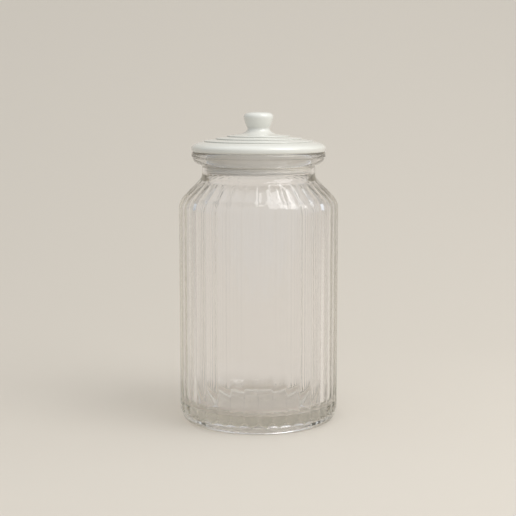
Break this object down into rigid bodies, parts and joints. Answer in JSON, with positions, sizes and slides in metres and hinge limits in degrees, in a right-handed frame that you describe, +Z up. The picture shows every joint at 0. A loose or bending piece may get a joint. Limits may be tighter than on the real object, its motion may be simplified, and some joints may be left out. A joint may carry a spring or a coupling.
{
  "type": "glass kitchen jar",
  "caption": "Tall round glass storage jar with vertical ribs, a flared lip and a domed white porcelain lid with a knob, sealed by a finned silicone ring.",
  "frame": {"origin": "centre of the jar's foot on the surface it stands on", "axes": "+Z up along the jar's axis, towards the knob; -Y is the side that the picture shows, with a groove between two ribs at its middle"},
  "size_m": [0.1394, 0.1394, 0.2709],
  "materials": {
    "clear_glass": "clear moulded glass, fire polished",
    "white_porcelain": "glossy white glaze",
    "clear_silicone": "soft translucent silicone"
  },
  "bodies": {
    "jar": {"glass_jar": "clear_glass"},
    "seal": {"seal_ring": "clear_silicone"},
    "lid": {"porcelain_lid": "white_porcelain"}
  },
  "joints": [
    {"name": "lid_lift", "type": "slide", "parent": "jar", "child": "seal", "axis": [0, 0, 1], "range_m": [0, 0.12]},
    {"name": "lid_turn", "type": "hinge", "parent": "seal", "child": "lid", "pos_m": [0, 0, 0.2364], "axis": [0, 0, 1], "continuous": true}
  ]
}
